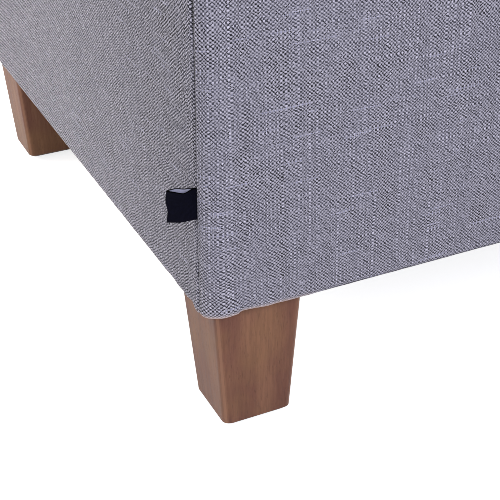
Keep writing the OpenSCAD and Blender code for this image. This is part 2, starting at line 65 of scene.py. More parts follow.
# Lid, from the frame
LID_W, LID_BACK, LID_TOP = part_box("lid_top_cover")[HIGH]
LID_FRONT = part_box("lid_top_cover")[LOW].y
LID_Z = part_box("lid_front_band")[LOW].z
FOAM_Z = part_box("lid_foam")[LOW].z
LID_TUCK = LID_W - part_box("lid_lining")[HIGH].x

# Cover and foam of the box
CORNER_R = 0.01  # upright corners of the box
HEM_R = 0.0032  # fold of the cover under the box
RIM_R = 0.0034  # folds of the cover over the rim
TUCK = 0.02  # cover turned in under the base
GROOVE = 0.0013  # depth of a seam's groove
GROOVE_W = 0.0012  # half width of a seam's groove
ALLOWANCE = 0.004  # cloth that shows no more behind a seam
SEAM_DASH = 0.007  # pitch of the dashes in a seam's line of painted shade
SEAM_LINE_W = 0.0011  # half width of a seam's line of painted shade
EASE = 0.0016  # how far the end pieces draw in at their seams
EASE_W = 0.01  # how soon they do
END_PULL = 0.82  # cut width of the end pieces' cloth, as a share of its stretched width
FOAM_T = 0.0088  # thickness of a foam sheet
FOAM_EASE = 0.0007  # gap between it and the cover at the corners
SEAM_CUT = 0.0025  # trimmed behind a corner seam
FOAM_SOFT = 0.0022  # rounding of its level edges

# Linings
NONWOVEN_T = 0.0004  # thickness of one layer
LINING_HEM = 0.012  # folded hem of the two flat linings
CREASE = 0.0006  # width of the hem's fold
FLOOR_R = 0.005  # round between floor and walls
WELL_HEM = 0.01  # hem of the storage space's lining
HEM_FACE = CLOTH_T + 2.2 * NONWOVEN_T  # how far that hem stands in from the wall

# Yarns of the woven cover
YARN_U = 0.00099  # pitch of the upright yarns
YARN_V = 0.0009  # pitch of the level yarns
LIGHT_YARN = 0.52  # reflectance of the upright yarns
DARK_YARN = 0.006  # reflectance of the level yarns
PALE_YARN = 0.37  # reflectance of the rare light stretches of level yarn


# ---- materials


class Nodes:
    """Adds nodes to a tree."""

    def __init__(self, tree):
        self.tree = tree

    def add(self, kind, inputs=(), output=0, **settings):
        """Adds a node with its inputs and returns one of its outputs."""
        node = self.tree.nodes.new("ShaderNode" + kind)
        for name, value in settings.items():
            setattr(node, name, value)
        pairs = inputs.items() if isinstance(inputs, dict) else enumerate(inputs)
        for key, value in pairs:
            if isinstance(value, bpy.types.NodeSocket):
                self.tree.links.new(value, node.inputs[key])
            else:
                node.inputs[key].default_value = value
        return node.outputs[output]

    def math(self, operation, *values, clamp=False):
        return self.add("Math", values, operation=operation, use_clamp=clamp)

    plus = partialmethod(math, "ADD")
    minus = partialmethod(math, "SUBTRACT")
    times = partialmethod(math, "MULTIPLY")

    def seen(self):
        """1 for what the camera sees, also in gloss or through glass, or else 0."""
        rays = self.add("LightPath").node.outputs
        seen = self.math("MAXIMUM", rays["Is Camera Ray"], rays["Is Glossy Ray"])
        return self.math("MAXIMUM", seen, rays["Is Transmission Ray"])


class Shader(Nodes):
    """A node material around one Principled BSDF."""

    def __init__(self, name, **sockets):
        self.material = bpy.data.materials.new(name)
        self.material.use_nodes = True
        super().__init__(self.material.node_tree)
        self.surface = self.tree.nodes["Principled BSDF"]
        for socket, value in sockets.items():
            self.surface.inputs[socket.replace("_", " ")].default_value = value

    def lerp(self, factor, a, b):
        return self.add("Mix", {0: factor, 2: a, 3: b}, data_type="FLOAT")

    def mix(self, factor, a, b):
        """Mixes two linear colours."""
        solid = {k: (*c, 1) if isinstance(c, tuple) else c for k, c in ((6, a), (7, b))}
        return self.add("Mix", {0: factor, **solid}, output=2, data_type="RGBA")

    def tint(self, colour, factor):
        """Multiplies a colour by a number."""
        return self.add("VectorMath", {0: colour, 3: factor}, operation="SCALE")

    def steps(self, value, low, high, to_low=0.0, to_high=1.0):
        """Smooth step of a value between two levels."""
        return self.add("MapRange", (value, low, high, to_low, to_high), interpolation_type="SMOOTHSTEP")

    def shade(self, colour, *steps):
        """Multiplies a colour by smooth steps, each given as for steps."""
        for step in steps:
            colour = self.tint(colour, self.steps(*step))
        return colour

    def hump(self, wave, count):
        """A sine or cosine with one hump for each step of a count."""
        return self.math("ABSOLUTE", self.math(wave, self.times(count, pi)))

    def vector(self, x=0.0, y=0.0, z=0.0):
        return self.add("CombineXYZ", (x, y, z))

    def split(self, vector):
        node = self.add("SeparateXYZ", (vector,)).node
        return node.outputs[0], node.outputs[1], node.outputs[2]

    def scaled(self, vector, x=1.0, y=1.0, z=1.0):
        return self.add("VectorMath", (vector, (x, y, z)), operation="MULTIPLY")

    def noise(self, vector, scale, detail=2.0, rough=0.5):
        return self.add("TexNoise", {"Vector": vector, "Scale": scale, "Detail": detail, "Roughness": rough})

    def streaks(self, a, scale_a, b, scale_b, seed, detail, rough=0.5):
        """Noise over two values, each at its own scale."""
        place = self.vector(self.times(a, scale_a), self.times(b, scale_b), seed)
        return self.noise(place, 1.0, detail, rough)

    def random(self, cell):
        """A number from 0 to 1 for each cell."""
        return self.add("TexWhiteNoise", {"Vector": cell}, noise_dimensions="3D")

    def odd(self, count):
        """1 for an odd whole number and 0 for an even one."""
        return self.math("FLOORED_MODULO", count, 2.0)

    def place(self):
        return self.add("TexCoord", output=3)

    def cloth(self):
        """Place on the cut cloth, in metres, and the number of the piece."""
        return self.add("Attribute", output=1, attribute_name="cloth")

    def level(self, name):
        """Kept at the points: painted light and wear, from -1 painted shade to +1 rubbed with a painted
        highlight, or nearness to an end piece's seam, where shade is painted, from 0 to 1.
        """
        return self.add("Attribute", output=2, attribute_name=name)

    def finish(self, colour, roughness, height, relief):
        """Links what was made to the surface, with the height in units of relief."""
        bump = self.add("Bump", {"Height": height, "Distance": relief, "Strength": 1.0})
        for socket, value in (("Base Color", colour), ("Roughness", roughness), ("Normal", bump)):
            if value is not None:
                self.tree.links.new(value, self.surface.inputs[socket])
        return self.material


def uneven_count(s, across, pitch, along, seed):
    """Counts nearly straight yarns of an uneven pitch."""
    near = s.streaks(across, 300.0, along, 9.0, seed, 1.0)
    far = s.streaks(across, 60.0, along, 14.0, seed, 2.0)
    count = s.plus(s.math("DIVIDE", across, pitch), s.times(near, 1.6))
    return s.plus(count, s.times(far, 2.5))


def painted_gap_shade(s, across, along, chain, panel):
    """Painted shade in the corners between the yarns, some nearly to black."""
    corner = s.times(s.hump("COSINE", across), s.hump("COSINE", along))
    size = s.random(s.vector(s.math("ROUND", across), s.math("ROUND", along), panel))
    size = s.plus(s.times(size, 0.7), s.steps(chain, 0.35, 0.65, 0.16, 0.0))
    return s.steps(s.times(corner, size), 0.38, 0.5, 1.0, 0.03)


def woven_cloth():
    """Plain weave whose dark level yarns show as specks between the light upright ones."""
    s = Shader("woven_cloth", Roughness=0.92, Sheen_Weight=0.05, Sheen_Roughness=0.5, Specular_IOR_Level=0.2)
    u, v, panel = s.split(s.cloth())
    worn, stretched = s.level("worn"), s.level("stretched")
    across = uneven_count(s, u, YARN_U, v, panel)
    along = uneven_count(s, v, YARN_V, u, s.plus(panel, 50.0))
    i, j = s.math("FLOOR", across), s.math("FLOOR", along)
    under = s.odd(s.plus(i, j))
    crossing = s.times(s.hump("SINE", across), s.hump("SINE", along))
    fleck = s.random(s.vector(i, j, panel))

    # The level yarns show more along chains of crossings
    chain = s.streaks(s.plus(i, j), 1.9, s.minus(i, j), 0.05, panel, 2.0)
    hidden = s.plus(s.steps(chain, 0.35, 0.65, 0.04, 0.16), s.times(fleck, 0.34))
    # near the end pieces' seams more level yarns show, a painted shade
    hidden = s.plus(hidden, s.times(stretched, s.minus(s.times(fleck, 0.45), 0.38)))
    speck = s.times(under, s.steps(s.minus(crossing, hidden), 0.0, 0.2))
    calm = s.steps(s.streaks(u, 70.0, v, 28.0, panel, 3.0, 0.6), 0.34, 0.62)
    speck = s.times(speck, s.lerp(calm, 1.0, 0.84))

    # Each yarn has its own dye, slubs and paler stretches; painted shade darkens the yarns' sides and the
    # gaps between them
    yarn = s.lerp(under, i, s.plus(j, 4000.5))
    travel = s.lerp(under, along, across)
    dye = s.add("TexWhiteNoise", {"W": s.plus(yarn, s.times(panel, 77.0))}, noise_dimensions="1D")
    slub = s.streaks(yarn, 3.71, travel, 0.13, panel, 2.0)
    ribs = s.streaks(i, 0.11, j, 0.045, panel, 2.0)
    rib = s.times(s.minus(s.odd(i), 0.5), s.steps(ribs, 0.42, 0.62, 0.05, 0.34))
    pale = s.streaks(j, 5.3, across, 0.025, panel, 1.0)
    tone = s.lerp(speck, LIGHT_YARN, s.steps(pale, 0.66, 0.71, DARK_YARN, PALE_YARN))
    for factor in (
        s.plus(0.92, s.times(dye, 0.16)),
        s.steps(slub, 0.3, 0.7, 0.9, 1.11),
        s.plus(0.86, s.times(fleck, 0.28)),
        s.minus(s.lerp(calm, 1.0, 0.94), rib),
        # painted shade: darker towards the sides of the yarns
        s.steps(crossing, 0.0, 0.45, 0.5, 1.0),
        # lighter upright yarns near the end pieces' seams, against their darker painted specks
        s.steps(stretched, 0.0, 1.0, 1.0, 1.09),
        # painted shade in the gaps between the yarns, deeper near the end pieces' seams
        painted_gap_shade(s, across, along, s.minus(chain, s.times(stretched, 0.3)), panel),
    ):
        tone = s.times(tone, factor)

    colour = s.tint(s.mix(speck, (1.03, 0.985, 1.14), (0.92, 0.93, 1.3)), tone)
    # Pale line along the hem's fold: rubbed wear with a painted highlight
    colour = s.mix(s.times(worn, 0.75, clamp=True), colour, (0.85, 0.66, 0.6))
    # Painted shade: darker where the level is below 0, along the hem's fold and in the seams' grooves
    colour = s.shade(colour, (worn, -1.0, 0.0, 0.08, 1.0))
    fibre = s.streaks(across, 5.0, along, 5.0, panel, 2.0)
    height = s.minus(s.plus(crossing, s.times(fibre, 0.25)), s.times(speck, 0.6))
    return s.finish(colour, None, height, 0.00035)


def stained_wood():
    """Walnut stain over upright grain, rubbed thin on the upright edges, with a painted highlight there, and
    painted shadow under the hem and along the foot's edge.
    """
    s = Shader("stained_wood", Specular_IOR_Level=0.12, Coat_Weight=0.02, Coat_Roughness=0.35)
    drawn_out = s.scaled(s.place(), z=0.11)
    warp = s.vector(s.times(s.noise(drawn_out, 34.0), 0.012))
    bands = s.noise(s.add("VectorMath", (drawn_out, warp), operation="ADD"), 80.0, 3.0, 0.6)
    fine = s.noise(s.scaled(s.place(), z=0.04), 900.0, 3.0, 0.6)
    pores = s.noise(s.scaled(s.place(), z=0.06), 2600.0, 1.0)
    blotch = s.noise(s.place(), 30.0, 3.0)
    colour = s.mix(s.steps(bands, 0.34, 0.68), (0.152, 0.064, 0.043), (0.222, 0.105, 0.062))
    colour = s.mix(s.steps(blotch, 0.42, 0.7, 0.0, 0.6), colour, (0.205, 0.104, 0.051))
    z = s.split(s.place())[Z]
    colour = s.shade(
        colour,
        (fine, 0.25, 0.75, 0.88, 1.1),
        (pores, 0.6, 0.72, 1.0, 0.78),
        # darker towards the foot
        (z, 0.0, 0.06, 0.9, 1.04),
        # painted contact shadow along the foot's edge
        (z, FOOT_Z + 0.0003, FOOT_Z + 0.0018, 0.15, 1.0),
        # painted shadow under the cover's hem
        (z, HEM_Z - 0.008, HEM_Z - 0.001, 1.0, 0.6),
    )
    nx, ny, _ = s.split(s.add("TexCoord", output=1))
    # painted highlight on the upright edges, where the stain is also rubbed thin
    arris = s.steps(s.math("ABSOLUTE", s.times(nx, ny)), 0.36, 0.5, 0.0, 0.55)
    colour = s.mix(arris, colour, (0.34, 0.175, 0.107))
    height = s.minus(s.times(fine, 0.5), s.steps(pores, 0.6, 0.72))
    return s.finish(colour, s.steps(fine, 0.2, 0.8, 0.42, 0.56), height, 0.00006)


def plywood():
    """Birch plywood with its grain along X."""
    s = Shader("plywood", Specular_IOR_Level=0.3)
    grain = s.noise(s.scaled(s.place(), x=0.05), 420.0, 3.0, 0.6)
    figure = s.noise(s.scaled(s.place(), x=0.12), 36.0)
    colour = s.mix(s.steps(grain, 0.35, 0.65), (0.47, 0.31, 0.165), (0.62, 0.44, 0.26))
    colour = s.shade(colour, (figure, 0.3, 0.7, 0.9, 1.06))
    return s.finish(colour, s.steps(grain, 0.2, 0.8, 0.55, 0.72), grain, 0.0001)


def open_foam():
    """Pale polyurethane foam with fine open cells."""
    s = Shader("foam", Roughness=0.95, Specular_IOR_Level=0.1)
    cells = s.add("TexVoronoi", {"Vector": s.place(), "Scale": 900.0}, feature="DISTANCE_TO_EDGE")
    colour = s.mix(s.noise(s.place(), 22.0), (0.78, 0.73, 0.52), (0.84, 0.79, 0.62))
    # painted shade in the open cells' hollows
    return s.finish(s.shade(colour, (cells, 0.0, 0.25, 1.05, 0.8)), None, cells, -0.0004)


def nonwoven():
    """Black spunbond with its pressed dots and loose fibres."""
    s = Shader("nonwoven_black", Sheen_Weight=0.06, Sheen_Roughness=0.5, Specular_IOR_Level=0.3)
    u, v, _ = s.split(s.cloth())
    rows = s.times(v, 640.0)
    columns = s.plus(s.times(u, 480.0), s.times(s.odd(s.math("FLOOR", rows)), 0.5))
    du, dv = (s.minus(s.math("FRACT", count), 0.5) for count in (columns, rows))
    dot = s.steps(s.plus(s.times(du, du), s.times(dv, dv)), 0.03, 0.07, 1.0, 0.0)
    fibres = s.noise(s.scaled(s.cloth(), y=3.5), 1500.0, 3.0, 0.7)
    colour = s.mix(s.steps(fibres, 0.35, 0.75), (0.013, 0.013, 0.014), (0.04, 0.04, 0.043))
    colour = s.shade(colour, (s.noise(s.cloth(), 60.0), 0.3, 0.7, 0.8, 1.2))
    return s.finish(colour, s.lerp(dot, 0.82, 0.5), s.minus(s.times(fibres, 0.6), dot), 0.00012)


def ribbon(name, dark, light):
    """Satin ribbon with fine level ribs and a darker selvedge at the top."""
    s = Shader(name, Specular_IOR_Level=0.02)
    u, v, _ = s.split(s.cloth())
    rib = s.math("SINE", s.times(v, 2 * pi / 0.00045))
    thread = s.math("SINE", s.times(u, 2 * pi / 0.0003))
    weave = s.plus(s.times(rib, 0.35), s.times(thread, 0.15))
    uneven = s.noise(s.cloth(), 700.0)
    colour = s.mix(s.plus(s.times(weave, 0.6), uneven), dark, light)
    colour = s.shade(colour, (v, LABEL_H - 0.0007, LABEL_H - 0.0003, 1.0, 0.03))
    return s.finish(colour, s.steps(uneven, 0.3, 0.7, 0.48, 0.66), weave, 0.00012)


def plated_steel(name, dark, light, roughness):
    """Plated steel with fine brushing and cloudy plating."""
    s = Shader(name, Metallic=1.0)
    brushed = s.noise(s.scaled(s.place(), x=0.1), 1800.0)
    cloud = s.noise(s.place(), 120.0, 3.0, 0.6)
    colour = s.mix(s.steps(cloud, 0.35, 0.65), dark, light)
    rough = s.plus(s.steps(cloud, 0.3, 0.7, roughness, roughness + 0.14), s.times(brushed, 0.1))
    return s.finish(colour, rough, brushed, 0.00002)


def moulded(name, colour, roughness, grain):
    """Moulded nylon or rubber with a fine grain and rubbed high spots."""
    s = Shader(name, Specular_IOR_Level=0.4)
    fine = s.noise(s.place(), grain, 3.0, 0.6)
    rubbed = s.steps(s.noise(s.place(), 160.0), 0.55, 0.8, 0.0, 0.5)
    shade = s.mix(rubbed, colour, tuple(1.6 * c + 0.01 for c in colour))
    return s.finish(shade, s.steps(fine, 0.2, 0.8, roughness - 0.08, roughness + 0.08), fine, 0.00005)


FASTENER_STEEL = plated_steel("fastener_steel", (0.2, 0.19, 0.18), (0.34, 0.33, 0.31), 0.36)
RIBBON_INSIDE = ribbon("ribbon_inside", (0.3, 0.3, 0.38), (0.52, 0.52, 0.66))
MATERIALS = {
    "woven_cover": woven_cloth(),
    "stained_wood": stained_wood(),
    "plywood": plywood(),
    "foam": open_foam(),
    "nonwoven_black": nonwoven(),
    "label_ribbon": ribbon("label_ribbon", (0.0008, 0.0008, 0.003), (0.006, 0.006, 0.013)),
    "zinc_steel": plated_steel("zinc_steel", (0.52, 0.53, 0.54), (0.68, 0.68, 0.69), 0.28),
    "glide_nylon": moulded("glide_nylon", (0.02, 0.02, 0.021), 0.45, 900.0),
    "bumper_rubber": moulded("bumper_rubber", (0.012, 0.012, 0.012), 0.7, 1400.0),
}

# ---- meshes


def add_object(name, data):
    piece = bpy.data.objects.new(name, data)
    SCENE.collection.objects.link(piece)
    return piece


def mesh_piece(name, points, faces, slot, body=None, node=None, cloth=None, **levels):
    """A smooth mesh with its finish, the body it rides on and the CAD node it stands for.

    Cloth also gets its cloth coordinates and levels kept at its points, of wear and of painted light and
    shade.
    """
    mesh = bpy.data.meshes.new(name)
    mesh.from_pydata(np.reshape(points, (-1, 3)).tolist(), [], faces)
    if cloth is not None:
        layer = mesh.attributes.new("cloth", "FLOAT_VECTOR", "POINT")
        layer.data.foreach_set("vector", np.asarray(cloth, np.float32).ravel())
    for level, values in levels.items():
        layer = mesh.attributes.new(level, "FLOAT", "POINT")
        layer.data.foreach_set("value", np.asarray(values, np.float32).ravel())
    mesh.shade_smooth()
    mesh.materials.append(MATERIALS[slot])
    piece = add_object(name, mesh)
    if body:
        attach(piece, body)
    if node:
        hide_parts(node)
    return piece


def thicken(piece, thickness):
    """Gives a sheet its thickness, behind its face."""
    solid = piece.modifiers.new("Thickness", "SOLIDIFY")
    solid.thickness = thickness
    solid.offset = -1.0
    return solid


def grid_faces(rows, columns, flip=False):
    """Quads of a grid whose points run row by row."""
    corners = (columns, columns + 1, 1, 0) if flip else (0, 1, columns + 1, columns)
    return [[r * columns + c + k for k in corners] for r in range(rows - 1) for c in range(columns - 1)]


def tube_faces(rings, n, start=0):
    """Quads round a tube of rings of n points, and a face over each end."""
    last = start + (rings - 1) * n
    faces = [
        [ring + c, ring + (c + 1) % n, ring + n + (c + 1) % n, ring + n + c]
        for ring in range(start, last, n)
        for c in range(n)
    ]
    return faces + [list(range(start, start + n))[::-1], list(range(last, last + n))]


def raised(plan, height):
    """Plan points at a height."""
    return np.column_stack([plan, np.zeros(len(plan)) + height])


def run_length(points):
    """Length along a row, up to each point."""
    return np.append(0, np.cumsum(np.linalg.norm(np.diff(points, axis=0), axis=1)))


def cloth_places(u, v, panel):
    """Cloth coordinates of a grid, from its two lengths and the number of the piece."""
    return np.stack(np.broadcast_arrays(u, v, float(panel)), -1)


def unit(vectors):
    return vectors / np.linalg.norm(vectors, axis=1)[:, None]


def bell(x, width):
    return np.exp(-((x / width) ** 2))


def smooth(x):
    """Smooth step of a share from 0 to 1."""
    return x * x * (3 - 2 * x)


def ripple(s, seed, waves, low, high):
    """Uneven waves along a length, with wavelengths from low to high."""
    draw = np.random.default_rng(seed)
    total = np.zeros_like(s)
    for _ in range(waves):
        length = low * (high / low) ** draw.random()
        total += np.sin(2 * pi * (s / length + draw.random()))
    return total / sqrt(waves) / 1.6


def from_ends(near, coarse, length):
    """Places from 0 to length: those given near both ends, and even ones between."""
    reach = near[-1]
    middle = np.linspace(reach, length - reach, round((length - 2 * reach) / coarse) + 1)
    return np.concatenate([near, middle[1:-1], length - near[::-1]])


def spaced(length, fine, coarse, reach):
    """Places from 0 to length, fine within reach of both ends and coarse between."""
    return from_ends(np.linspace(0, reach, round(reach / fine) + 1), coarse, length)


# ---- cover of the box

SEAM_TURN = asin((SEAM_Y - HALF_D + CORNER_R) / CORNER_R)  # arc between an end face and its seam
END = dict(half=HALF_D, out=HALF_W, well=WELL_D, well_out=WELL_W, bend=SEAM_TURN, long=False)
LONG = dict(half=HALF_W, out=HALF_D, well=WELL_W, well_out=WELL_D, bend=pi / 2 - SEAM_TURN, long=True)
SIDES = {
    "left": dict(END, turn=-90),
    "front": dict(LONG, turn=0),
    "right": dict(END, turn=90),
    "back": dict(LONG, turn=180),
}
HEM_ROW = 6  # row of the cover at the middle of its fold under the box


def on_side(points, side):
    """Turns points made facing +Y to their side of the box."""
    turn = np.array(Matrix.Rotation(radians(SIDES[side]["turn"]), 3, "Z"))
    return np.reshape(points, (-1, 3)) * (1, -1, 1) @ turn.T


def box_profile():
    """Zone, inset and height of the cover's rows, from under the base to inside the rim."""
    rows = [("under", share * TUCK, HEM_Z) for share in (1, 0.7, 0.4)]

    def quarter(zone, centre_in, centre_z, radius, start, steps):
        for k in range(steps + 1):
            a = radians(start + 90 * k / steps)
            rows.append((zone, centre_in - radius * cos(a), centre_z + radius * sin(a)))

    quarter("face", HEM_R, HEM_Z + HEM_R, HEM_R, -90, 6)
    face = spaced(RIM_Z - RIM_R - HEM_Z - HEM_R, 0.0025, 0.01, 0.03)
    rows += [("face", 0.0, HEM_Z + HEM_R + z) for z in face[1:-1]]
    quarter("face", RIM_R, RIM_Z - RIM_R, RIM_R, 0, 5)
    rows += [("rim", share, RIM_Z) for share in (0.3, 0.5, 0.7)]
    quarter("turn", -RIM_R, RIM_Z - RIM_R, -RIM_R, -90, 5)
    rows += [("turn", 0.0, RIM_Z - RIM_R - z) for z in (0.004, 0.009, 0.015, RIM_Z - RIM_R - TURN_Z)]
    return rows


def hem_sag(seam, long_side):
    """How far the lower edge hangs: most at the corner, least where its fold ends."""
    corner = 0.0012 * bell(seam, 0.012)
    if not long_side:
        return 0.0018 + 1.2 * corner
    fold = np.clip((seam - 0.0205) / 0.0015, 0, 1) * np.clip((0.033 - seam) / 0.009, 0, 1)
    return 0.0012 + corner - 0.0012 * smooth(fold)


def wander(z):
    """How far a corner seam strays at a height."""
    fade = min(1.0, max(0.0, (RIM_Z - RIM_R - z) / 0.08))
    return (0.004 * tanh((z - 0.157) / 0.085) - 0.0012) * fade


def outline(d, s):
    """Plan of the cover's outer face on one side, and its normals, at lengths from the middle."""
    straight = d["half"] - CORNER_R
    turned = np.maximum(0, (np.abs(s) - straight) / CORNER_R)
    along = np.sign(s) * (np.minimum(np.abs(s), straight) + CORNER_R * np.sin(turned))
    across = d["out"] - CORNER_R * (1 - np.cos(turned))
    return np.stack([along, across], 1), np.stack([np.sign(s) * np.sin(turned), np.cos(turned)], 1)


def rim_fold(d, s, half):
    """Plan of the cover inside the rim and round the corner posts."""
    straight = d["half"] - CORNER_R
    wall, post = d["well"] - CLOTH_T, POST_W - 0.6 * CLOTH_T
    fold = wall - post
    knots = [0, straight - 0.06, straight - 0.018 * (d["bend"] < 1), half]
    along = np.sign(s) * np.interp(np.abs(s), knots, [0, straight - 0.06, fold, fold + post / 2])
    across = d["well_out"] - CLOTH_T - np.interp(np.abs(s), knots, [0, 0, 0, post / 2])
    return np.stack([along, across], 1)


def cover_panel(side, seed):
    """One of the four pieces of the box's cover, between two seams."""
    d = SIDES[side]
    half = d["half"] - CORNER_R + d["bend"] * CORNER_R
    near = np.array([0.0, 0.0, 0.0005])
    s = np.concatenate([near, spaced(2 * half, 0.0012, 0.0045, 0.036)[1:-1], 2 * half - near[::-1]]) - half
    seam = half - np.abs(s)
    outer, _ = outline(d, s)
    inner = rim_fold(d, s, half)
    limit = d["half"] - TUCK
    under = raised(np.clip(outer[:, :1], -limit, limit), d["out"] - TUCK)
    under += 0.12 * (outer - under)
    to_outer = unit(outer - inner)

    groove = GROOVE * bell(seam, GROOVE_W)
    groove[[0, -1]] = ALLOWANCE
    eased = 0 * seam if d["long"] else EASE * np.exp(-seam / EASE_W)
    loose = 0.15 + 0.85 * bell(seam, 0.045)
    hem_wave = 0.0005 * loose * ripple(s + half, seed, 6, 0.009, 0.06) - hem_sag(seam, d["long"])
    hem_out = 0.0005 * loose * ripple(s + half, seed + 1, 5, 0.01, 0.045)
    pull = (0.5 * (1 + np.cos(pi * np.clip(seam / 0.03, 0, 1)))) * np.sign(s) * (-1 if d["long"] else 1)
    rows, points = box_profile(), []
    pucker = ripple(np.arange(len(rows)) * 0.004, seed + 2, 4, 0.012, 0.04)
    for k, (zone, inset, z) in enumerate(rows):
        near_hem = exp(-max(0.0, z - HEM_Z - 0.001) / 0.006)
        outer, normal = outline(d, s + pull * wander(z))
        plan = {
            "under": outer + (under - outer) * (inset / TUCK),
            "face": outer - normal * inset,
            "rim": outer + (inner - outer) * inset,
            "turn": inner - to_outer * inset,
        }[zone]
        height = np.full(len(s), z)
        if zone in ("under", "face"):
            drawn_in = groove + eased * sin(pi * min(1, (z - HEM_Z) / 0.1) / 2)
            for out in (-drawn_in, near_hem * hem_out, 0.0003 * pucker[k] * np.exp(-seam / 0.006)):
                plan = plan + normal * out[:, None]
            height = height + near_hem * hem_wave * (1 - inset / TUCK if zone == "under" else 1)
        elif zone == "rim":
            height = height - groove
        points.append(raised(plan, height))
    points = np.array(points)

    v = run_length(points[:, len(s) // 2])
    u = s.copy()
    u[0] -= ALLOWANCE
    u[-1] += ALLOWANCE
    above_hem = v - v[HEM_ROW]
    # Along the hem's fold: paler, rubbed with a painted highlight, on the end pieces and near the long
    # pieces' corners; painted shade further along the long pieces
    rubbed = np.clip((0.075 - seam) / 0.03, 0, 1) if d["long"] else np.full(len(s), 0.7)
    worn = np.outer(bell(above_hem, 0.0014), 1.6 * rubbed - 0.6)
    # A dark line down each seam: painted shade in its groove, in thread-like dashes, fading out towards the
    # hem
    seam_line = 1.05 + 0.45 * np.sin(2 * pi * v / SEAM_DASH)
    seam_line *= np.clip(above_hem / 0.022, 0.0, 1.0) ** 1.5
    worn = np.minimum(worn, 1.0) - np.outer(seam_line, bell(seam, SEAM_LINE_W))
    # Near their seams the end pieces get painted shade: more dark specks and deeper gaps
    stretched = np.tile(0 * seam if d["long"] else np.exp(-seam / 0.07), (len(rows), 1))
    cloth = cloth_places(u * (1.0 if d["long"] else END_PULL), v[:, None], seed)
    piece = mesh_piece(
        side + "_cover_cloth", on_side(points, side), grid_faces(len(rows), len(s)), "woven_cover",
        "box", side + "_cover", cloth, worn=worn, stretched=stretched,
    )
    thicken(piece, CLOTH_T)


# ---- foam sheets


def offset_outline(outline, inset):
    """Moves a closed, counter-clockwise outline inwards."""
    turn = unit(np.roll(outline, -1, 0) - outline) + unit(outline - np.roll(outline, 1, 0))
    inward = turn[:, ::-1] * (-1, 1)
    inward /= np.maximum(1e-9, (inward ** 2).sum(1) / 2)[:, None]
    return outline + inward * inset


def foam_sheet(side, seed):
    """Foam sheet on one wall, with soft edges and, at the front and back, round corners."""
    d = SIDES[side]
    low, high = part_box(side + "_padding")
    inner = d["out"] - CLOTH_T - FOAM_T
    if d["long"]:
        reach, thick = d["half"] - CORNER_R, FOAM_T - FOAM_EASE
        turns = np.radians(np.linspace(0, 90, 8))
        bend = thick - SEAM_CUT * np.cos(turns) ** 2
        right = np.stack([reach + bend * np.cos(turns), inner + bend * np.sin(turns)], 1)
    else:
        reach, thick = d["half"] - (CORNER_R + 0.001), FOAM_T
        right = np.array([[reach, inner], [reach, inner + thick]])
    places = np.linspace(reach, -reach, 60)[1:-1]
    top = np.stack([places, np.full(len(places), inner + thick)], 1)
    plan = np.concatenate([right, top, right[::-1] * (-1, 1)])
    ends = [(0.0, FOAM_SOFT), (0.3 * FOAM_SOFT, 0.3 * FOAM_SOFT), (FOAM_SOFT, 0.0)]
    levels = [(low.z + rise, inset) for rise, inset in ends]
    levels += [(z, 0.0) for z in np.linspace(low.z + 0.02, high.z - 0.02, 14)]
    levels += [(high.z - rise, inset) for rise, inset in ends[::-1]]
    rings = []
    for k, (z, inset) in enumerate(levels):
        ring = offset_outline(plan, inset)
        outside = ring[:, 1] > inner + 0.004
        if not d["long"]:
            ring[:, 1] -= EASE * np.exp(-(d["half"] - 0.008 - np.abs(ring[:, 0])) / EASE_W) * outside
        ring[:, 1] -= 0.0003 * np.abs(ripple(ring[:, 0] + k * 0.013, seed, 3, 0.02, 0.12)) * outside
        rings.append(raised(ring, z))
    faces = [f[::-1] for f in tube_faces(len(rings), len(plan))]
    piece = mesh_piece(side + "_foam_sheet", on_side(rings, side), faces, "foam", "box", side + "_padding")


# ---- linings


def folded_sheet(node, body, sag, flat_edge, seed):
    """Sheet with a folded hem, stapled up under a board, that sags a little."""
    low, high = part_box(node)
    size = high - low

    def lines(length):
        inside = spaced(length, 0.005, 0.014, 0.02)
        hem = np.array([CREASE, 0.5 * LINING_HEM, LINING_HEM])
        return np.concatenate([-hem[::-1], inside, length + hem])

    def fold(place, length):
        over = np.maximum(0, np.maximum(-place, place - length))
        return np.clip(place, 0, length) + np.sign(length / 2 - place) * np.maximum(0, over - CREASE), over

    x, y = np.meshgrid(lines(size.x), lines(size.y), indexing="ij")
    fx, over_x = fold(x, size.x)
    fy, over_y = fold(y, size.y)
    over = np.maximum(over_x, over_y)
    inside = np.minimum(np.minimum(x, size.x - x), np.minimum(y, size.y - y))
    drop = sag * smooth(np.clip((inside - flat_edge) / 0.08, 0, 1))
    drop = drop * (1 + 0.15 * ripple(x * 0.8 + y, seed, 4, 0.08, 0.3))
    edge_wave = np.exp(-np.maximum(0, inside) / 0.03) * (inside > 0.004)
    drop += 0.0002 * edge_wave * (1 + ripple(x + y, seed + 1, 3, 0.03, 0.05))
    z = low.z + np.where(over > 0, np.minimum(over / CREASE, 1) * NONWOVEN_T, 0) - drop
    points = np.stack([low.x + fx, low.y + fy, z], -1)
    faces = grid_faces(*x.shape, flip=True)
    cloth = cloth_places(x, y, seed)
    piece = mesh_piece(node + "_cloth", points, faces, "nonwoven_black", body, node, cloth)
    thicken(piece, NONWOVEN_T)


def well_ring(inset):
    """Plan of the storage space between the corner posts, and the length round it."""
    w, d, c = WELL_W - inset, WELL_D - inset, POST_W - inset * (2 - sqrt(2))
    corners = np.array([(c - w, -d), (w - c, -d), (w, c - d), (w, d - c)])
    corners = np.concatenate([corners, -corners])
    points, lengths, far = [], [], 0.0
    for k, start in enumerate(corners):
        side = corners[(k + 1) % 8] - start
        t = np.linspace(0, 1, (80, 4, 28, 4)[k % 4], endpoint=False)
        points.append(start + side * t[:, None])
        lengths.append(far + t * np.linalg.norm(side))
        far += np.linalg.norm(side)
    return np.concatenate(points), np.append(np.concatenate(lengths), far)


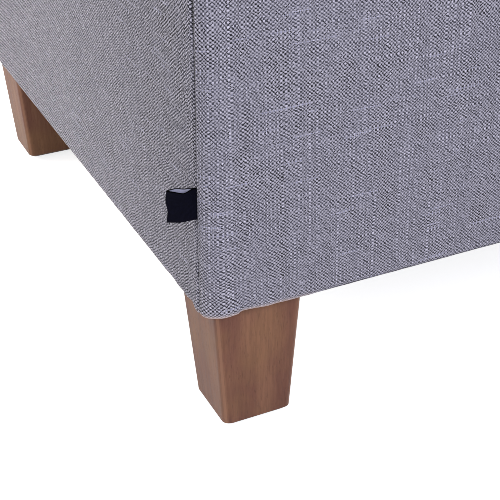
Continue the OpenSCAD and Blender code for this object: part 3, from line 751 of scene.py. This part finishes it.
def storage_lining():
    """Lining of the storage space, with a folded hem stapled over the cover's edge."""
    base, _ = well_ring(NONWOVEN_T)
    round_ = well_ring(0.0)[1]
    floor, hem_low = WELL_Z + NONWOVEN_T, TURN_Z - WELL_HEM
    rows = []
    middle = np.stack([np.clip(base[:, 0], -0.36, 0.36), np.zeros(len(base))], 1)
    for share in (1.0, 0.93, 0.85, 0.7, 0.5, 0.3, 0.15, 0.06):
        ring = middle + (base - middle) * max(1 - share, 0.001)
        height = 0.0008 * (1 - share) * share * 4 * (1 + ripple(ring[:, 0] + ring[:, 1], 31, 4, 0.05, 0.2))
        rows.append(raised(ring, floor + np.abs(height)))
    for k in range(5):
        a = radians(k * 22.5)
        ring, _ = well_ring(NONWOVEN_T + FLOOR_R * (1 - sin(a)))
        rows.append(raised(ring, floor + FLOOR_R * (1 - cos(a))))
    wave = np.clip(ripple(round_[:-1], 37, 6, 0.05, 0.25), 0, 1)
    plates = bell(base[:, 1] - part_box("left_stay_wall_plate")[HIGH].y, 0.07)
    plates *= np.abs(base[:, 0]) > WELL_W - 0.002
    inward = -unit(base)
    for z in np.linspace(floor + 0.012, hem_low - 0.004, 18):
        bulge = 0.0016 * sin(pi * (z - floor) / (hem_low - floor)) * wave * (1 - plates)
        rows.append(raised(base + inward * bulge[:, None], z))
    back = HEM_FACE - 1.1 * NONWOVEN_T
    for rise, inset in (
        (-WELL_HEM, 2.2 * NONWOVEN_T), (-0.0015, 0.0012), (0.0005, HEM_FACE), (0.004, HEM_FACE),
        (0.0044, HEM_FACE - NONWOVEN_T), (0.0036, back), (0.0006, back),
    ):
        ring, _ = well_ring(inset)
        rows.append(raised(ring, TURN_Z + rise + 0.0003 * ripple(round_[:-1], 41, 4, 0.03, 0.12)))
    points = np.array(rows)
    closed = np.concatenate([points, points[:, :1]], 1)
    cloth = cloth_places(round_, run_length(points[:, 10])[:, None], 7)
    cloth[:9, :, :2] = closed[:9, :, :2]
    faces = grid_faces(*closed.shape[:2], flip=True)
    node = "storage_lining"
    piece = mesh_piece(node + "_cloth", closed, faces, "nonwoven_black", "box", node, cloth)
    thicken(piece, NONWOVEN_T)


def staples(lining, body, places):
    """Every staple of one lining, each a flat wire crown with its two legs driven in."""
    crown, wire, tall = 0.0045, 0.0005, 0.0006
    points, faces = [], []
    for place, along, up in places:
        faces += tube_faces(6, 4, len(points))
        along, up = Vector(along), Vector(up)
        across = along.cross(up)
        for t, h in ((-1, -0.5), (-1, 0.6), (-0.88, 1.0), (0.88, 1.0), (1, 0.6), (1, -0.5)):
            centre = Vector(place) + along * (t * crown) + up * (h * tall)
            for a, b in ((-1, -1), (1, -1), (1, 0), (-1, 0)):
                points.append(centre + across * (a * wire) + up * (b * wire))
    piece = mesh_piece(lining + "_staples", points, faces, "zinc_steel", body)
    bevel = piece.modifiers.new("Edges", "BEVEL")
    bevel.width, bevel.segments = 0.00012, 2


def rim_staples(node, pitch, skip):
    """Staples round a sheet that faces down, but not where skip says."""
    low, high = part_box(node)
    places = []
    for axis, other in ((X, Y), (Y, X)):
        count = round((high[axis] - low[axis] - LINING_HEM) / pitch)
        for level in (low[other] + 0.5 * LINING_HEM, high[other] - 0.5 * LINING_HEM):
            for t in np.linspace(low[axis] + 0.03, high[axis] - 0.03, count):
                x, y = (t, level) if axis == X else (level, t)
                if not skip(x, y):
                    places.append(((x, y, low.z), (1 - axis, axis, 0), (0, 0, -1)))
    return places


def under_leg(x, y):
    """Whether a leg covers a place under the base."""
    low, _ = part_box("back_right_leg")
    return abs(x) > low.x - 0.007 and abs(y) > low.y - 0.007


def under_bracket(x, y):
    """Whether a stay's bracket covers a place under the lid."""
    low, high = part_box("right_stay_lid_bracket")
    return abs(x) > low.x - 0.01 and low.y - 0.008 < y < high.y + 0.008


def well_staples():
    """Staples through the hem of the storage space's lining."""
    x, y, z = WELL_W - HEM_FACE, WELL_D - HEM_FACE, TURN_Z + 0.0022
    xs, ys = np.linspace(-0.47, 0.47, 17), np.linspace(-0.14, 0.14, 6)
    places = [((t, s * y, z), (1, 0, 0), (0, -s, 0)) for s in (-1, 1) for t in xs]
    return places + [((s * x, t, z), (0, 1, 0), (-s, 0, 0)) for s in (-1, 1) for t in ys]


# ---- side label

LABEL_W = 0.0135  # how far the folded label stands out of its seam
LABEL_TURN = 17  # how far it turns out from the end of the box, in degrees
LABEL_FOLD = 0.00042  # radius of its fold
LABEL_T = 0.00035  # thickness of the ribbon


def side_label():
    """Bare black ribbon folded into a loop and sewn into the seam."""
    low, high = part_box("side_label")
    lean = radians(180 - LABEL_TURN)
    along = np.array([cos(lean), sin(lean)])
    across = np.array([-sin(lean), cos(lean)])
    root = np.array([-HALF_W, -SEAM_Y - wander((low.z + high.z) / 2)])
    reach = LABEL_W - 0.0008
    legs = np.linspace(-0.0015, reach, 16)
    turns = np.radians(np.linspace(90, -90, 9))[1:-1]
    bend = np.stack([reach + LABEL_FOLD * np.cos(turns), LABEL_FOLD * np.sin(turns)], 1)
    path = np.concatenate([raised(legs[:, None], LABEL_FOLD), bend, raised(legs[::-1, None], -LABEL_FOLD)])
    puff = 0.0021 * np.sin(pi * np.clip(legs / reach, 0, 0.999) ** 1.2) ** 0.8
    puff = np.concatenate([puff, np.zeros(len(turns)), -puff[::-1]])
    s = run_length(path)
    share = np.clip(path[:, 0] / reach, 0, 1)
    dip = 0.0011 * bell(share - 0.36, 0.22)
    edges = 0.00018 * np.sin(s / 0.0017) - 0.0005 * np.sin(pi * s / s[-1]) ** 2
    rise = np.linspace(0, 1, 15)
    points = []
    for h in rise:
        sway = 0.0005 * sin(2.2 * pi * h + 0.6) * share
        curl = 0.0002 * (cos(3.1 * pi * h) + 0.6 * cos(9 * h)) * share
        a, b = path[:, 0] + curl, path[:, 1] + puff * (0.3 + 0.7 * h * h) + sway
        droop = 0.0013 - 0.0003 * share + dip * h ** 3
        edge_wave = edges * abs(2 * h - 1) ** 3
        plan = root + np.outer(a, along) + np.outer(b, across)
        points.append(raised(plan, low.z + LABEL_H * h - droop + edge_wave))
    faces = grid_faces(len(rise), len(path), flip=True)
    cloth = cloth_places(s, rise[:, None] * LABEL_H, 0)
    piece = mesh_piece("side_label_ribbon", points, faces, "label_ribbon", "box", "side_label", cloth)
    piece.data.materials.append(RIBBON_INSIDE)
    thicken(piece, LABEL_T).material_offset = 1


# ---- lid

LID_R = 0.014  # upright corners of the lid
MITRE = 0.1  # length at a corner that the turned-in cover is gathered over
LID_SEAM_IN = 0.0038  # top seam, in from the side of the lid
LID_SEAM_DOWN = 0.0105  # top seam, below the crown
ROLL = 0.0055  # rise of the foam's rolled edge beside the top seam
ROLL_W = 0.0075  # how soon
CROWN = 0.0088  # how far the top may swell above its rolled edge
BULGE = 0.0034  # how far the sides may swell past their seams
SEAM_PULL = 0.0011  # how far the thread draws a seam in
SEAM_SHADE = 0.85  # how dark a seam's groove is
PUCKER = 0.00035  # how far the cloth puckers beside the top seam
HELD_ROW = 10  # first row of the sides that stays at the board in the simulation
FOAM_ROWS = 11  # rows of the sides down to the foam's lower face
LID_HALF = np.array([LID_W, (LID_BACK - LID_FRONT) / 2]) - LID_SEAM_IN  # half size inside the top seam
LID_CENTRE = np.array([0.0, (LID_BACK + LID_FRONT) / 2])


def lid_lines(length):
    """Grid lines across the lid: close at the seams and wide between."""
    near = np.array([0, 0.0018, 0.0045, 0.008, LID_R - LID_SEAM_IN, 0.019, 0.028, 0.04])
    return from_ends(near, 0.012, length)


def from_seam():
    """Distance of the points of the lid's top grid from its seam."""
    x, y = (lid_lines(2 * half) for half in LID_HALF)
    return np.minimum.outer(np.minimum(x, x[::-1]), np.minimum(y, y[::-1]))


def lid_shape():
    """The lid's skin before it swells: top grid, rows round the sides, their order and normals."""
    half = LID_HALF
    x, y = np.meshgrid(*(lid_lines(2 * h) - h for h in half), indexing="ij")
    flat = np.stack([x, y], -1)
    radius = LID_R - LID_SEAM_IN
    past = np.maximum(0, np.abs(flat) - (half - radius)) / radius
    both = (past > 0).all(-1)
    squeeze = np.where(both, past.max(-1) / np.maximum(1e-9, np.hypot(past[..., 0], past[..., 1])), 1.0)
    plan = np.sign(flat) * (np.minimum(np.abs(flat), half - radius) + past * radius * squeeze[..., None])
    seam_z = LID_TOP - LID_SEAM_DOWN
    top = np.dstack([plan + LID_CENTRE, seam_z + ROLL * (1 - np.exp(-from_seam() / ROLL_W))])

    nx, ny = x.shape
    loop = [(i, 0) for i in range(nx)] + [(nx - 1, j) for j in range(1, ny)]
    loop += [(i, ny - 1) for i in range(nx - 2, -1, -1)] + [(0, j) for j in range(ny - 2, 0, -1)]
    ring = np.array([plan[i, j] for i, j in loop])
    out = unit(ring - np.clip(ring, radius - half, half - radius))
    square = np.array([flat[i, j] for i, j in loop])
    far = np.maximum(0, np.abs(square) - half + MITRE)
    tuck = np.sign(square) * (np.abs(square) - far * (LID_TUCK - LID_SEAM_IN) / MITRE)

    drops = (0.0, 0.0018, 0.0045, 0.009, 0.016, 0.026, 0.036, 0.046, 0.056, 0.064)
    rows = [(LID_SEAM_IN * exp(-drop / 0.012), seam_z - drop) for drop in drops]
    rows += [(0.0, FOAM_Z), (0.0, LID_Z + 0.01), (0.0, LID_Z + HEM_R)]
    rows += [(HEM_R * (1 - cos(a)), LID_Z + HEM_R * (1 - sin(a))) for a in (0.5, 1.0, pi / 2)]
    sides = [raised(ring + out * (LID_SEAM_IN - inset) + LID_CENTRE, z) for inset, z in rows]
    sides += [raised(ring + (tuck - ring) * share + LID_CENTRE, LID_Z) for share in (0.4, 0.7, 1.0)]
    return top, np.array(sides), loop, out


def skin_faces(shape, loop, rows):
    """Faces of the closed skin, and the points of each row round it."""
    nx, ny = shape
    index = np.arange(nx * ny).reshape(nx, ny)
    n = len(loop)
    rings = [np.array([index[i, j] for i, j in loop])]
    rings += [nx * ny + r * n + np.arange(n) for r in range(rows - 1)]
    faces = np.stack([index[:-1, :-1], index[1:, :-1], index[1:, 1:], index[:-1, 1:]], -1)
    faces = faces.reshape(-1, 4).tolist()
    for upper, lower in zip(rings, rings[1:]):
        faces += np.stack([upper, lower, np.roll(lower, -1), np.roll(upper, -1)], 1).tolist()
    return faces + [rings[-1][::-1].tolist()], rings


def swell(top, sides, loop, corners):
    """Cloth simulation: pressure fills the skin while its seams and tucked edge hold."""
    faces, rings = skin_faces(top.shape[:2], loop, len(sides))
    points = np.concatenate([top.reshape(-1, 3), sides[1:].reshape(-1, 3)])
    skin = mesh_piece("lid_skin", points, faces, "woven_cover")
    held = np.concatenate([rings[0], *rings[HELD_ROW:], *(ring[corners] for ring in rings)])
    skin.vertex_groups.new(name="held").add(sorted(set(held.tolist())), 1.0, "REPLACE")
    cloth = skin.modifiers.new("Cloth", "CLOTH")
    for name, value in dict(
        vertex_group_mass="held", quality=6, mass=0.35, tension_stiffness=12, compression_stiffness=12,
        shear_stiffness=5, bending_stiffness=1.2, use_pressure=True, uniform_pressure_force=4.0,
    ).items():
        setattr(cloth.settings, name, value)
    cloth.settings.effector_weights.gravity = 0.0
    cloth.point_cache.frame_start, cloth.point_cache.frame_end = 1, 20
    for step in range(1, 21):
        SCENE.frame_set(step)
    evaluated = skin.evaluated_get(bpy.context.evaluated_depsgraph_get())
    moved = np.zeros(points.size)
    evaluated.data.vertices.foreach_get("co", moved)
    bpy.data.objects.remove(skin)
    SCENE.frame_set(1)
    return moved.reshape(-1, 3) - points


def capped(move, limit):
    """Shortens moves smoothly to below a limit."""
    size = np.linalg.norm(move, axis=-1, keepdims=True)
    return move * limit * (1 - np.exp(-size / limit)) / np.maximum(size, 1e-9)


def dent(far, along):
    """How far the cloth is drawn in beside a seam, unevenly."""
    tight = SEAM_PULL * (1 + 0.35 * ripple(along, 91, 6, 0.012, 0.05)) * bell(far, 0.0012)
    return tight + PUCKER * (1 + ripple(along, 92, 6, 0.018, 0.07)) * np.exp(-far / 0.008)


def draw_in(top, sides, loop, out, corners):
    """Draws the cloth in at the top seam and down the corners."""
    top[..., 2] -= dent(from_seam(), top[..., 0] + top[..., 1])
    for row in sides[1:HELD_ROW]:
        row[:, :2] -= out * dent(sides[0, :, 2] - row[:, 2], row[:, 0] + row[:, 1])[:, None]
        row[corners, :2] -= out[corners] * SEAM_PULL
    for c, (i, j) in enumerate(loop):
        top[i, j, :2] -= out[c] * 0.6 * SEAM_PULL
        sides[0, c] = top[i, j]


def foam_block(top, sides, loop):
    """Foam block of the lid, which fills its cover down to the board."""
    faces, _ = skin_faces(top.shape[:2], loop, FOAM_ROWS)
    points = np.concatenate([top.reshape(-1, 3), sides[1:FOAM_ROWS].reshape(-1, 3)])
    piece = mesh_piece("lid_foam_block", points, faces, "foam", "lid", "lid_foam")
    normals = np.zeros(points.size)
    piece.data.vertices.foreach_get("normal", normals)
    inner = points - (CLOTH_T + FOAM_EASE) * normals.reshape(-1, 3)
    inner[:, 2] = np.maximum(inner[:, 2], FOAM_Z)
    piece.data.vertices.foreach_set("co", inner.ravel())


def measured(points, axis):
    """Length along the lines of a grid, from their middles."""
    steps = np.linalg.norm(np.diff(points, axis=axis), axis=-1)
    total = np.insert(np.cumsum(steps, axis=axis), 0, 0, axis=axis)
    return total - np.take(total, [points.shape[axis] // 2], axis=axis)


def beside_seams(points):
    """Adds a grid line close beside each seam, so that its detail stays narrow."""
    for axis in (0, 1):
        lines = np.moveaxis(points, axis, 0)
        after, before = 0.65 * lines[1] + 0.35 * lines[2], 0.65 * lines[-2] + 0.35 * lines[-3]
        lines = np.concatenate([lines[:2], after[None], lines[2:-2], before[None], lines[-2:]])
        points = np.moveaxis(lines, 0, axis)
    return points


def lid_piece(node, points, cloth, seam_below=False):
    """One piece of the lid's cover, with seams on three sides or on all four."""
    points, cloth = beside_seams(points), beside_seams(cloth)
    rows, columns = points.shape[:2]
    worn = np.zeros((rows, columns))
    # Painted shade along the seams' grooves
    worn[1] = worn[:, 1] = worn[:, -2] = -SEAM_SHADE
    skip = {0, columns - 2}
    if seam_below:
        worn[-2] = -SEAM_SHADE
        skip |= {(rows - 2) * (columns - 1), (rows - 1) * (columns - 1) - 1}
    faces = [f for k, f in enumerate(grid_faces(rows, columns)) if k not in skip]
    piece = mesh_piece(node + "_cloth", points, faces, "woven_cover", "lid", node, cloth, worn=worn)
    fine = piece.modifiers.new("Smooth", "SUBSURF")
    fine.levels = fine.render_levels = 1
    thicken(piece, CLOTH_T)


def lid_cover():
    """Cover of the lid: a top panel and four bands round the foam block."""
    top, sides, loop, out = lid_shape()
    nx, ny = top.shape[:2]
    corners = [0, nx - 1, nx + ny - 2, 2 * nx + ny - 3]
    move = swell(top, sides, loop, corners)
    top = top + capped(move[:nx * ny].reshape(top.shape), CROWN)
    sides[1:] += capped(move[nx * ny:].reshape(-1, len(loop), 3), BULGE)
    sides[0] = [top[i, j] for i, j in loop]
    draw_in(top, sides, loop, out, corners)
    foam_block(top, sides, loop)

    below = np.array([0, 0, -ALLOWANCE])
    padded = np.pad(top, ((1, 1), (1, 1), (0, 0)), mode="edge")
    rim = np.ones(padded.shape[:2], bool)
    rim[1:-1, 1:-1] = False
    padded[rim] += below
    cloth = cloth_places(measured(padded, 0), measured(padded, 1), 61)
    lid_piece("lid_top_cover", padded.transpose(1, 0, 2), cloth.transpose(1, 0, 2), seam_below=True)

    ends = corners + [len(loop)]
    for k, side in enumerate(("front", "right", "back", "left")):
        columns = np.arange(ends[k], ends[k + 1] + 1) % len(loop)
        band = sides[:, columns]
        inward = band.mean(axis=(0, 1)) * (1, 1, 0)
        inward = -inward / np.linalg.norm(inward)
        band = np.concatenate([band[:, :1] + ALLOWANCE * inward, band, band[:, -1:] + ALLOWANCE * inward], 1)
        band = np.concatenate([band[:1] + below + 0.001 * inward, band])
        u, v = run_length(band[5]), -run_length(band[:, len(columns) // 2])
        cloth = cloth_places(u, v[:, None], 63 + k)
        lid_piece("lid_" + side + "_band", band[:, ::-1], cloth[:, ::-1])


# ---- stage


def lay_floor():
    """Pale floor that keeps the shadow and is near white to the camera."""
    mesh = bpy.data.meshes.new("floor")
    mesh.from_pydata([(-6, -6, 0), (6, -6, 0), (6, 6, 0), (-6, 6, 0)], [], [(0, 1, 2, 3)])
    s = Shader("floor_paper", Roughness=1.0, Base_Color=(0.8, 0.8, 0.8, 1), Specular_IOR_Level=0.0)
    glow = s.add("Emission", {"Strength": s.times(s.seen(), 0.76)})
    both = s.add("AddShader", (s.surface.outputs[0], glow))
    s.tree.links.new(both, s.tree.nodes["Material Output"].inputs[0])
    mesh.materials.append(s.material)
    add_object("floor", mesh)


def light_world(strength):
    """Even soft light from all round, seen as white."""
    world = SCENE.world = bpy.data.worlds.new("studio")
    world.use_nodes = True
    n = Nodes(world.node_tree)
    background = world.node_tree.nodes["Background"].inputs
    background["Color"].default_value = (1, 1, 1, 1)
    shown = n.add("MapRange", {"Value": n.seen(), "To Min": strength, "To Max": 1.0})
    world.node_tree.links.new(shown, background["Strength"])


def soft_box(name, place, aim, size, power, colour, spread=180):
    """Square area lamp that faces a point, with a grid that narrows its beam."""
    lamp = bpy.data.lights.new(name, "AREA")
    lamp.size, lamp.energy, lamp.color, lamp.spread = size, power, colour, radians(spread)
    piece = add_object(name, lamp)
    piece.location = place
    piece.rotation_euler = (Vector(aim) - Vector(place)).to_track_quat("-Z", "Y").to_euler()


def aim_camera():
    """Looks down at the left front corner, from close by."""
    heading, pitch, roll = radians(24.347), radians(30.281), radians(1.346)
    data = bpy.data.cameras.new("camera")
    data.lens, data.sensor_width = 88.2, 36.0
    data.clip_start, data.clip_end = 0.02, 60.0
    camera = add_object("camera", data)
    turn = Matrix.Rotation(-heading, 4, "Z") @ Matrix.Rotation(pi / 2 - pitch, 4, "X")
    turn = turn @ Matrix.Rotation(-roll, 4, "Z")
    camera.matrix_world = Matrix.Translation((-0.7271, -0.6632, 0.4034)) @ turn
    SCENE.camera = camera


def finish_cad_nodes():
    """Gives each CAD node the finish of its slot, and fasteners a darker plating."""
    for row in frame["record"]["subparts"]:
        fastener = row["node"].endswith(("screws", "rivets", "rivet", "pins", "t_nuts"))
        finish = FASTENER_STEEL if fastener else MATERIALS[row["material_slot"]]
        for slot in frame["nodes"][row["node"]].material_slots:
            slot.material = finish


aim_camera()
lay_floor()
light_world(0.62)
soft_box("key_light", (-0.7, -1.5, 1.0), (-0.55, -0.2, 0.2), 1.0, 13.0, (0.95, 0.97, 1.14))
soft_box("end_light", (-0.95, 0.45, 0.5), (-0.55, 0.2, 0.2), 0.6, 0.8, (1.05, 1.01, 0.92), spread=40)
soft_box("fill_light", (1.6, -2.6, 1.8), (0, 0, 0.2), 2.4, 6, (0.92, 0.96, 1.2))
SCENE.view_settings.view_transform = "Standard"
SCENE.cycles.filter_width = 0.85
SCENE.cycles.denoising_prefilter = "NONE"

finish_cad_nodes()
for number, wall in enumerate(SIDES):
    cover_panel(wall, 10 * number + 1)
for number, wall in enumerate(SIDES):
    foam_sheet(wall, 80 + number)
storage_lining()
folded_sheet("dust_cover", "box", sag=0.0022, flat_edge=0.012, seed=51)
folded_sheet("lid_lining", "lid", sag=0.0008, flat_edge=0.035, seed=55)
staples("storage_lining", "box", well_staples())
staples("dust_cover", "box", rim_staples("dust_cover", 0.045, under_leg))
staples("lid_lining", "lid", rim_staples("lid_lining", 0.05, under_bracket))
side_label()
lid_cover()
